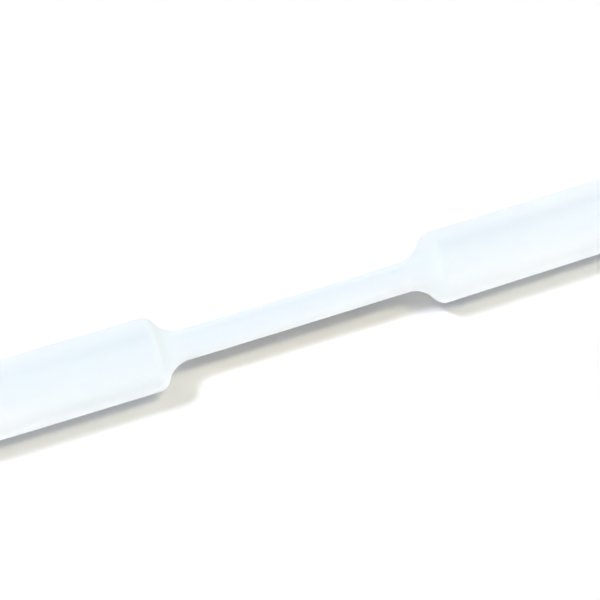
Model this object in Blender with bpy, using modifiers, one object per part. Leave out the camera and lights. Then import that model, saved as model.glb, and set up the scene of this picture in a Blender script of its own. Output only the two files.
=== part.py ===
"""A cut length of thin-walled 3:1 heat-shrink tubing whose middle has been heated and has shrunk.

The tube is one extruded piece of plastic. It lies on its side along X on the floor at Z = 0, on its two
unshrunk lengths, so the shrunk neck between them hangs clear of the floor.
"""

import math

import bpy

MM = 0.001

# The cut length, and how far its ends sweep sideways from its middle because it came off a reel
TUBE_LENGTH = 150.0 * MM
SIDEWAYS_BOW = 0.56 * MM

# The bores before and after shrinking, and the wall after shrinking
SUPPLIED_BORE = 12.3 * MM
SHRUNK_BORE = 3.85 * MM
SHRUNK_WALL = 0.75 * MM

# The fully shrunk neck, without its two shoulders, and how far its middle is from the tube's middle
NECK_LENGTH = 40.0 * MM
NECK_OFFSET = 0.0 * MM

# Each shoulder: the bend inside its outer corner, the fillet where it meets the neck and its steepest slope.
# Left is towards -X
LEFT_CORNER_BEND = 1.25 * MM
LEFT_THROAT_RADIUS = 4.4 * MM
LEFT_FLANK_SLOPE = math.radians(56.8)
RIGHT_CORNER_BEND = 1.75 * MM
RIGHT_THROAT_RADIUS = 4.6 * MM
RIGHT_FLANK_SLOPE = math.radians(53.5)

# How finely the round shapes are divided
SIDES = 48
THROAT_STEPS = 6
CORNER_STEPS = 5
STRAIGHT_SPACING = 25.0 * MM
SAME_POINT = 0.001 * MM
SHARP_ANGLE = math.radians(35.0)

# White cross-linked polyolefin: linear colour, roughness, metallic
TUBE_COLOUR = (0.86, 0.90, 0.93, 1.0)
TUBE_ROUGHNESS = 0.42
TUBE_METALLIC = 0.0

# Shrinking moves plastic inwards and neither adds nor removes any, so the section's area stays the same
SECTION_OVER_PI = SHRUNK_WALL * (SHRUNK_BORE + SHRUNK_WALL)
SHRUNK_RADIUS = SHRUNK_BORE / 2 + SHRUNK_WALL
SUPPLIED_RADIUS = math.hypot(SUPPLIED_BORE / 2, math.sqrt(SECTION_OVER_PI))
SUPPLIED_WALL = SUPPLIED_RADIUS - SUPPLIED_BORE / 2


def clear_scene():
    for old in list(bpy.data.objects):
        bpy.data.objects.remove(old, do_unlink=True)


def wall_at(outer_radius):
    """Thickness of the wall where the tube has shrunk to this outer radius."""
    return outer_radius - math.sqrt(outer_radius**2 - SECTION_OVER_PI)


def shoulder(corner_bend, throat_radius, flank_slope):
    """Outside of one shoulder from the neck's end outwards, as (distance along X, radius, slope)."""
    corner_radius = corner_bend + SUPPLIED_WALL
    rise = SUPPLIED_RADIUS - SHRUNK_RADIUS
    both_bends = corner_radius + throat_radius
    slope = min(flank_slope, math.acos(max(0.0, 1 - rise / both_bends)))
    points = []
    for step in range(THROAT_STEPS + 1):
        angle = slope * step / THROAT_STEPS
        distance = throat_radius * math.sin(angle)
        radius = SHRUNK_RADIUS + throat_radius * (1 - math.cos(angle))
        points.append((distance, radius, angle))
    flank_rise = rise - both_bends * (1 - math.cos(slope))
    corner_end = both_bends * math.sin(slope) + flank_rise / math.tan(slope)
    for step in range(CORNER_STEPS + 1):
        angle = slope * (1 - step / CORNER_STEPS)
        distance = corner_end - corner_radius * math.sin(angle)
        radius = SUPPLIED_RADIUS - corner_radius * (1 - math.cos(angle))
        points.append((distance, radius, angle))
    return points


def straight(start, end, radius):
    """Points of a straight stretch between two places on X, without the places themselves."""
    pieces = max(1, math.ceil((end - start) / STRAIGHT_SPACING))
    return [(start + (end - start) * i / pieces, radius, 0.0) for i in range(1, pieces)]


def outside_meridian():
    """Outside of the whole tube from its left cut end to its right one, as (x, radius, slope)."""
    neck_left = NECK_OFFSET - NECK_LENGTH / 2
    neck_right = NECK_OFFSET + NECK_LENGTH / 2
    left_shape = shoulder(LEFT_CORNER_BEND, LEFT_THROAT_RADIUS, LEFT_FLANK_SLOPE)
    right_shape = shoulder(RIGHT_CORNER_BEND, RIGHT_THROAT_RADIUS, RIGHT_FLANK_SLOPE)
    left = [(neck_left - distance, radius, -slope) for distance, radius, slope in reversed(left_shape)]
    right = [(neck_right + distance, radius, slope) for distance, radius, slope in right_shape]
    left_end = (-TUBE_LENGTH / 2, SUPPLIED_RADIUS, 0.0)
    right_end = (TUBE_LENGTH / 2, SUPPLIED_RADIUS, 0.0)
    return [
        left_end,
        *straight(left_end[0], left[0][0], SUPPLIED_RADIUS),
        *left,
        *straight(neck_left, neck_right, SHRUNK_RADIUS),
        *right,
        *straight(right[-1][0], right_end[0], SUPPLIED_RADIUS),
        right_end,
    ]


def inside_meridian(outside):
    """The bore's wall, one wall thickness in from each point of the outside, square to the surface."""
    points = []
    for x, radius, slope in outside:
        wall = wall_at(radius)
        points.append((x + wall * math.sin(slope), radius - wall * math.cos(slope)))
    return points


def section_mesh():
    """Closed outline of the wall's section, below the tube's axis and half a side round from straight down."""
    outside = outside_meridian()
    outline = inside_meridian(outside) + [(x, radius) for x, radius, slope in reversed(outside)]
    half_side = math.pi / SIDES
    points = [(x, r * math.sin(half_side), -r * math.cos(half_side)) for x, r in outline]
    edges = [(i, (i + 1) % len(points)) for i in range(len(points))]
    mesh = bpy.data.meshes.new("tube_section")
    mesh.from_pydata(points, edges, [])
    return mesh


def turned_mesh(section):
    """The section turned once round X, with its cut edges left sharp and the rest smooth."""
    turned = bpy.data.objects.new("turning", section)
    bpy.context.scene.collection.objects.link(turned)
    screw = turned.modifiers.new("Turn", "SCREW")
    screw.axis = "X"
    screw.angle = 2 * math.pi
    screw.steps = SIDES
    screw.render_steps = SIDES
    screw.use_merge_vertices = True
    screw.merge_threshold = SAME_POINT
    weld = turned.modifiers.new("Close", "WELD")
    weld.merge_threshold = SAME_POINT
    graph = bpy.context.evaluated_depsgraph_get()
    mesh = bpy.data.meshes.new_from_object(turned.evaluated_get(graph))
    bpy.data.objects.remove(turned)
    mesh.shade_smooth()
    mesh.set_sharp_from_angle(angle=SHARP_ANGLE)
    return mesh


def tube_material():
    material = bpy.data.materials.new("white_polyolefin")
    material.use_nodes = True
    shader = material.node_tree.nodes["Principled BSDF"]
    shader.inputs["Base Color"].default_value = TUBE_COLOUR
    shader.inputs["Roughness"].default_value = TUBE_ROUGHNESS
    shader.inputs["Metallic"].default_value = TUBE_METALLIC
    return material


def bow_sideways(mesh):
    """Moves each place along the tube level and sideways, most at the two ends, which stay square to X."""
    for vertex in mesh.vertices:
        vertex.co.y += SIDEWAYS_BOW * ((2 * vertex.co.x / TUBE_LENGTH) ** 2 - 0.5)


def make_tube(collection):
    """The tube, lying with one side of each unshrunk length flat on the floor."""
    mesh = turned_mesh(section_mesh())
    mesh.name = "heat_shrink_tube"
    bow_sideways(mesh)
    mesh.materials.append(tube_material())
    tube = bpy.data.objects.new("heat_shrink_tube", mesh)
    tube.location.z = SUPPLIED_RADIUS * math.cos(math.pi / SIDES)
    collection.objects.link(tube)


def build():
    clear_scene()
    collection = bpy.data.collections.new("heat_shrink_tube")
    bpy.context.scene.collection.children.link(collection)
    make_tube(collection)


build()
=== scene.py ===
import math

import bpy
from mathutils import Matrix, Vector


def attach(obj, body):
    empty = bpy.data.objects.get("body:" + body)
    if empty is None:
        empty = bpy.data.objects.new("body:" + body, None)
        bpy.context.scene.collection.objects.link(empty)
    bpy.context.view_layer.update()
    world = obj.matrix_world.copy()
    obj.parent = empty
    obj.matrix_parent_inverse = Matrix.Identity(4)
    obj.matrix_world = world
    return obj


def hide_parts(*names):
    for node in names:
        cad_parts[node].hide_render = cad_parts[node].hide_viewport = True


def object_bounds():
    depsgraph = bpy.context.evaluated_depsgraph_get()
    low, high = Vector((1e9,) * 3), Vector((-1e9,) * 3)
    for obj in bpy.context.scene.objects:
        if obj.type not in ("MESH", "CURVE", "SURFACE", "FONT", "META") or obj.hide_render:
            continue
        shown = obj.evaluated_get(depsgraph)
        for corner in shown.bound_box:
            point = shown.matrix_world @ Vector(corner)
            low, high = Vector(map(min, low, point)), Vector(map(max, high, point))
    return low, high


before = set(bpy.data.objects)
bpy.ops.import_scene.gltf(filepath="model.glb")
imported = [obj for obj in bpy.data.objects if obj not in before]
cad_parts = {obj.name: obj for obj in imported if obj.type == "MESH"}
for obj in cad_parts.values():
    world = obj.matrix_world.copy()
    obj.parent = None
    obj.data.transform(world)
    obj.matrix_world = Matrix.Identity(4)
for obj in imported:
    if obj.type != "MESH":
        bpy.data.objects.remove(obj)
cad_low, cad_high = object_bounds()

# Tube: one extruded length of white cross-linked polyolefin, blown up to three times its shrunk
# bore when it was made. Its middle has been heated and has drawn in to a thick-walled neck, and
# both ends are cut square.
MM = 0.001
END_X = cad_high.x
WIDE_RADIUS = (cad_high.z - cad_low.z) / 2
AXIS_HEIGHT = (cad_high.z + cad_low.z) / 2
NECK_RADIUS = 2.675 * MM
NECK_WALL = 0.75 * MM
NECK_HALF_LENGTH = 20.0 * MM
SIDEWAYS_BOW = 0.56 * MM
# Outer corner radius, throat radius and flank slope of each shoulder
LEFT_SHOULDER = (1.52 * MM, 4.4 * MM, math.radians(56.8))
RIGHT_SHOULDER = (2.02 * MM, 4.6 * MM, math.radians(53.5))
# How finely the tube is divided round its girth, along its straight stretches and round its bends
SIDES = 96
WIDE_RINGS = 16
NECK_RINGS = 14
RIM_STEP = 0.3 * MM
CLEAR_OF_BENDS = 3 * MM
THROAT_SEGMENTS = 12
CORNER_SEGMENTS = 8
ROUND_PROFILE = 0.5
SAME_PLACE = 0.01 * MM


def centre_at(x):
    """Middle of the tube at x: it sweeps sideways towards both ends, as tubing off a reel does."""
    return Vector((x, SIDEWAYS_BOW * ((x / END_X) ** 2 - 0.5), AXIS_HEIGHT))


def draw_out(stations):
    """Extrudes the tube's open end through rings at these (x, radius) stations."""
    for (x, radius), (next_x, next_radius) in zip(stations, stations[1:]):
        bpy.ops.mesh.extrude_region_move(
            TRANSFORM_OT_translate={"value": centre_at(next_x) - centre_at(x)}
        )
        growth = next_radius / radius
        bpy.ops.transform.resize(value=(1, growth, growth), center_override=centre_at(next_x))


def level_run(start, end, radius, rings):
    """Stations of a straight stretch, its start included and its end left out."""
    return [(start + (end - start) * i / rings, radius) for i in range(rings)]


def select_ring(tube, x):
    """Selects the ring of edges that stands square to the tube at x."""
    bpy.ops.mesh.select_all(action="DESELECT")
    bpy.ops.object.mode_set(mode="OBJECT")
    for edge in tube.data.edges:
        ends = [tube.data.vertices[i].co.x for i in edge.vertices]
        edge.select = all(abs(place - x) < SAME_PLACE for place in ends)
    bpy.ops.object.mode_set(mode="EDIT")
    bpy.ops.mesh.select_mode(type="EDGE")


def sharp_shoulder(side, shape):
    """Throat and corner of a shoulder if it were a plain cone: side is -1 left and 1 right."""
    corner_radius, throat_radius, slope = shape
    throat_x = NECK_HALF_LENGTH + throat_radius * math.tan(slope / 2)
    corner_x = throat_x + (WIDE_RADIUS - NECK_RADIUS) / math.tan(slope)
    return side * throat_x, side * corner_x


left_throat_x, left_corner_x = sharp_shoulder(-1, LEFT_SHOULDER)
right_throat_x, right_corner_x = sharp_shoulder(1, RIGHT_SHOULDER)
left_wide = (-END_X + RIM_STEP, left_corner_x - CLEAR_OF_BENDS)
neck = (left_throat_x + CLEAR_OF_BENDS, right_throat_x - CLEAR_OF_BENDS)
right_wide = (right_corner_x + CLEAR_OF_BENDS, END_X - RIM_STEP)

bpy.ops.object.select_all(action="DESELECT")
bpy.ops.mesh.primitive_circle_add(
    vertices=SIDES, radius=WIDE_RADIUS, location=centre_at(-END_X), rotation=(0, math.pi / 2, 0)
)
tube = bpy.context.object
tube.name = "white_tube"
bpy.ops.object.transform_apply(location=True, rotation=True, scale=True)
bpy.ops.object.mode_set(mode="EDIT")
bpy.ops.mesh.select_all(action="SELECT")
draw_out(
    [
        (-END_X, WIDE_RADIUS),
        *level_run(*left_wide, WIDE_RADIUS, WIDE_RINGS),
        (left_wide[1], WIDE_RADIUS),
        (left_corner_x, WIDE_RADIUS),
        (left_throat_x, NECK_RADIUS),
        *level_run(*neck, NECK_RADIUS, NECK_RINGS),
        (neck[1], NECK_RADIUS),
        (right_throat_x, NECK_RADIUS),
        (right_corner_x, WIDE_RADIUS),
        *level_run(*right_wide, WIDE_RADIUS, WIDE_RINGS),
        (right_wide[1], WIDE_RADIUS),
        (END_X, WIDE_RADIUS),
    ]
)
for throat_x, corner_x, (corner_radius, throat_radius, slope) in (
    (left_throat_x, left_corner_x, LEFT_SHOULDER),
    (right_throat_x, right_corner_x, RIGHT_SHOULDER),
):
    for x, radius, segments in (
        (throat_x, throat_radius, THROAT_SEGMENTS),
        (corner_x, corner_radius, CORNER_SEGMENTS),
    ):
        select_ring(tube, x)
        bpy.ops.mesh.bevel(
            offset_type="OFFSET",
            offset=radius * math.tan(slope / 2),
            segments=segments,
            profile=ROUND_PROFILE,
            affect="EDGES",
        )
bpy.ops.mesh.select_all(action="SELECT")
bpy.ops.mesh.normals_make_consistent(inside=False)
bpy.ops.object.mode_set(mode="OBJECT")

# Shrinking keeps the area of the wall's section, so the wall is thickest in the neck
wall = tube.vertex_groups.new(name="wall")
neck_section = NECK_RADIUS**2 - (NECK_RADIUS - NECK_WALL) ** 2
for vertex in tube.data.vertices:
    from_axis = vertex.co - centre_at(vertex.co.x)
    radius = math.hypot(from_axis.y, from_axis.z)
    thickness = radius - math.sqrt(radius**2 - neck_section)
    wall.add([vertex.index], thickness / NECK_WALL, "REPLACE")

# Slight hollows in the surface. They go inwards only, so the tube stays inside the CAD model's box
RIPPLE_DEPTH = 0.02 * MM
RIPPLE_LENGTH = 7.0 * MM
INWARDS_ONLY = 1.0
ripple = bpy.data.textures.new("ripple", "CLOUDS")
ripple.noise_scale = RIPPLE_LENGTH
uneven = tube.modifiers.new("Uneven surface", "DISPLACE")
uneven.texture = ripple
uneven.texture_coords = "LOCAL"
uneven.mid_level = INWARDS_ONLY
uneven.strength = RIPPLE_DEPTH
bpy.ops.object.modifier_apply(modifier=uneven.name)

INSIDE_THE_SURFACE = -1.0
thick = tube.modifiers.new("Wall", "SOLIDIFY")
thick.thickness = NECK_WALL
thick.vertex_group = "wall"
thick.offset = INSIDE_THE_SURFACE
thick.use_even_offset = False
bpy.ops.object.modifier_apply(modifier=thick.name)

# Both ends are trimmed flat, and their cut edges are softened a little, as a blade leaves them
RIM_ROUNDING = 0.03 * MM
RIM_SEGMENTS = 2
CUT_EDGE_ANGLE = math.radians(60)
SMOOTH_ANGLE = math.radians(40)
bpy.ops.object.mode_set(mode="EDIT")
for end_x in (-END_X, END_X):
    select_ring(tube, end_x)
    bpy.ops.transform.resize(value=(0, 1, 1), center_override=(end_x, 0, 0))
bpy.ops.object.mode_set(mode="OBJECT")
rim = tube.modifiers.new("Cut edge", "BEVEL")
rim.limit_method = "ANGLE"
rim.angle_limit = CUT_EDGE_ANGLE
rim.width = RIM_ROUNDING
rim.segments = RIM_SEGMENTS
bpy.ops.object.modifier_apply(modifier=rim.name)
bpy.ops.object.shade_smooth_by_angle(angle=SMOOTH_ANGLE)

# Where each point was on the tube before it shrank, so that the die's lines run with the wall and
# close up in the neck
tube.data.attributes.new("as_extruded", "FLOAT_VECTOR", "POINT")
for vertex, before in zip(tube.data.vertices, tube.data.attributes["as_extruded"].data):
    from_axis = vertex.co - centre_at(vertex.co.x)
    before.vector = from_axis.normalized() * WIDE_RADIUS + Vector((vertex.co.x, 0, 0))

# White plastic with a satin skin, which light goes a quarter of a millimetre into
LIGHT_DEPTH = 0.25 * MM
SAME_FOR_ALL_COLOURS = (1, 1, 1)
PLASTIC_IOR = 1.5
polyolefin = bpy.data.materials.new("satin_polyolefin")
polyolefin.use_nodes = True
nodes = polyolefin.node_tree.nodes
links = polyolefin.node_tree.links
shader = nodes["Principled BSDF"]
shader.inputs["Subsurface Weight"].default_value = 1.0
shader.inputs["Subsurface Radius"].default_value = SAME_FOR_ALL_COLOURS
shader.inputs["Subsurface Scale"].default_value = LIGHT_DEPTH
shader.inputs["IOR"].default_value = PLASTIC_IOR

# A noise stays mostly between these two values
NOISE_LOW = 0.3
NOISE_HIGH = 0.7


def place_on_wall(stretch):
    """The unshrunk place of each point, drawn out this much along the tube against its girth."""
    place = nodes.new("ShaderNodeAttribute")
    place.attribute_name = "as_extruded"
    drawn = nodes.new("ShaderNodeMapping")
    drawn.inputs["Scale"].default_value = (1 / stretch, 1, 1)
    links.new(place.outputs["Vector"], drawn.inputs["Vector"])
    return drawn.outputs["Vector"]


def unevenness(grain_size, stretch=1, detail=2):
    """A noise from 0 to 1 whose lumps are about this wide."""
    noise = nodes.new("ShaderNodeTexNoise")
    noise.inputs["Scale"].default_value = 1 / grain_size
    noise.inputs["Detail"].default_value = detail
    links.new(place_on_wall(stretch), noise.inputs["Vector"])
    return noise.outputs["Fac"]


def spread(noise, low, high):
    """The noise brought to the range from low to high."""
    reach = nodes.new("ShaderNodeMapRange")
    reach.inputs["From Min"].default_value = NOISE_LOW
    reach.inputs["From Max"].default_value = NOISE_HIGH
    reach.inputs["To Min"].default_value = low
    reach.inputs["To Max"].default_value = high
    links.new(noise, reach.inputs["Value"])
    return reach.outputs["Result"]


def added(first, second):
    """The two values added together."""
    both = nodes.new("ShaderNodeMath")
    both.operation = "ADD"
    links.new(first, both.inputs[0])
    links.new(second, both.inputs[1])
    return both.outputs["Value"]


# The plastic is a little denser in some places than in others, which shows as a faint cloudiness
CLOUD_SIZE = 9 * MM
THINNER_WHITE = (0.720, 0.800, 0.854, 1)
DENSER_WHITE = (0.750, 0.814, 0.866, 1)
clouds = unevenness(CLOUD_SIZE, stretch=3, detail=3)
pigment = nodes.new("ShaderNodeMix")
pigment.data_type = "RGBA"
pigment.inputs["A"].default_value = THINNER_WHITE
pigment.inputs["B"].default_value = DENSER_WHITE
links.new(spread(clouds, 0, 1), pigment.inputs["Factor"])
links.new(pigment.outputs["Result"], shader.inputs["Base Color"])

# Lines from the die run the length of the tube, and the skin between them is very slightly grained
DIE_LINE_WIDTH = 0.35 * MM
DIE_LINE_DEPTH = 0.006 * MM
GRAIN_SIZE = 0.5 * MM
GRAIN_DEPTH = 0.005 * MM
RELIEF_STRENGTH = 0.6
DULL_PATCH_SIZE = 2.5 * MM
DULL_PATCH_CHANGE = 0.03
SMOOTHEST, ROUGHEST = 0.52, 0.62
die_lines = unevenness(DIE_LINE_WIDTH, stretch=60, detail=3)
grain = unevenness(GRAIN_SIZE, detail=1)
dull_patches = unevenness(DULL_PATCH_SIZE, stretch=2)
roughness = added(
    spread(die_lines, SMOOTHEST, ROUGHEST),
    spread(dull_patches, -DULL_PATCH_CHANGE, DULL_PATCH_CHANGE),
)
links.new(roughness, shader.inputs["Roughness"])
relief = nodes.new("ShaderNodeBump")
relief.inputs["Strength"].default_value = RELIEF_STRENGTH
relief.inputs["Distance"].default_value = 1.0
height_of_skin = added(spread(die_lines, 0, DIE_LINE_DEPTH), spread(grain, 0, GRAIN_DEPTH))
links.new(height_of_skin, relief.inputs["Height"])
links.new(relief.outputs["Normal"], shader.inputs["Normal"])
tube.data.materials.append(polyolefin)

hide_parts("heat_shrink_tube")
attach(tube, "root")

# Floor: a sheet of plain white card under the tube. It is lit until it looks pure white, so that
# only the shadow shows on it.
FLOOR_SIZE = 12.0
CARD_WHITE = (0.9, 0.9, 0.9, 1)
CARD_ROUGHNESS = 0.9
bpy.ops.mesh.primitive_plane_add(size=FLOOR_SIZE, location=(0, 0, 0))
floor = bpy.context.object
floor.name = "floor"
card = bpy.data.materials.new("white_card")
card.use_nodes = True
card_shader = card.node_tree.nodes["Principled BSDF"]
card_shader.inputs["Base Color"].default_value = CARD_WHITE
card_shader.inputs["Roughness"].default_value = CARD_ROUGHNESS
card_shader.inputs["Specular IOR Level"].default_value = 0.0
floor.data.materials.append(card)

# Camera: a long lens a little over 20 cm away, looking steeply down at the tube's middle from in
# front and slightly to the left.
CAMERA_PLACE = Vector((-34.07, -99.11, 191.11)) * MM
CAMERA_TURN = math.radians(-19.37)
CAMERA_ELEVATION = math.radians(60)
SENSOR_WIDTH_MM = 36
LENS_MM = 74.46
NEAREST_SEEN = 0.01
FURTHEST_SEEN = 20
camera_data = bpy.data.cameras.new("camera")
camera_data.sensor_width = SENSOR_WIDTH_MM
camera_data.lens = LENS_MM
camera_data.clip_start = NEAREST_SEEN
camera_data.clip_end = FURTHEST_SEEN
camera = bpy.data.objects.new("camera", camera_data)
camera.location = CAMERA_PLACE
camera.rotation_euler = (math.pi / 2 - CAMERA_ELEVATION, 0, CAMERA_TURN)
bpy.context.scene.collection.objects.link(camera)
bpy.context.scene.camera = camera

# Light: two small lamps high up, left and right, throw the shadow's two steps. Softboxes overhead
# and at the right and a card behind fill it, and strips of white card low in front light the
# tube's side but hardly the floor. All stand far off, so the floor is lit evenly.
LIGHT_DISTANCE = 15.0


def softbox(name, azimuth, elevation, wide, high, brightness):
    """A lamp aimed at the tube from this azimuth, 0 in front and 90 towards +X, and elevation.

    It fills the angles wide and high. All four are in degrees, and brightness is its radiance.
    """
    lamp = bpy.data.lights.new(name, "AREA")
    lamp.shape = "RECTANGLE"
    lamp.size = 2 * LIGHT_DISTANCE * math.tan(math.radians(wide / 2))
    lamp.size_y = 2 * LIGHT_DISTANCE * math.tan(math.radians(high / 2))
    lamp.energy = math.pi * lamp.size * lamp.size_y
    lamp.color = brightness
    tilt = math.radians(90 - elevation)
    turn = math.radians(azimuth)
    box = bpy.data.objects.new(name, lamp)
    box.rotation_euler = (tilt, 0, turn)
    box.location = box.rotation_euler.to_matrix() @ Vector((0, 0, LIGHT_DISTANCE))
    box.visible_camera = False
    bpy.context.scene.collection.objects.link(box)


softbox("key_light", -114, 62, 11, 11, (44.7, 46.4, 54.2))
softbox("second_light", 69, 64, 9, 9, (39.1, 37.0, 27.1))
softbox("overhead_softbox", -105, 74.5, 37, 23, (2.29, 2.31, 2.18))
softbox("right_softbox", 90, 35, 23, 23, (3.60, 3.45, 3.70))
softbox("back_card", 180, 24, 98, 19, (1.88, 1.68, 1.45))
softbox("front_left_card", -60, 1.5, 58, 3, (18.4, 17.2, 12.9))
softbox("front_card", 0, 1.5, 58, 3, (19.2, 16.2, 16.9))
softbox("front_right_card", 60, 1.5, 58, 3, (17.4, 17.7, 17.0))

# Backdrop: pure white to the eye all round, but only its foot, which fades out just above the
# horizon, lights the tube.
FOOT_TOP = 0.15
PURE_WHITE = (1, 1, 1, 1)
world = bpy.data.worlds.new("white_backdrop")
world.use_nodes = True
world_nodes = world.node_tree.nodes
world_links = world.node_tree.links
direction = world_nodes.new("ShaderNodeTexCoord")
height = world_nodes.new("ShaderNodeSeparateXYZ")
fade = world_nodes.new("ShaderNodeMapRange")
fade.inputs["From Min"].default_value = 0.0
fade.inputs["From Max"].default_value = FOOT_TOP
fade.inputs["To Min"].default_value = 1.0
fade.inputs["To Max"].default_value = 0.0
ray = world_nodes.new("ShaderNodeLightPath")
seen = world_nodes.new("ShaderNodeMath")
seen.operation = "MAXIMUM"
backdrop = world_nodes["Background"]
backdrop.inputs["Color"].default_value = PURE_WHITE
world_links.new(direction.outputs["Generated"], height.inputs["Vector"])
world_links.new(height.outputs["Z"], fade.inputs["Value"])
world_links.new(fade.outputs["Result"], seen.inputs[0])
world_links.new(ray.outputs["Is Camera Ray"], seen.inputs[1])
world_links.new(seen.outputs["Value"], backdrop.inputs["Strength"])
bpy.context.scene.world = world
bpy.context.scene.view_settings.view_transform = "Standard"
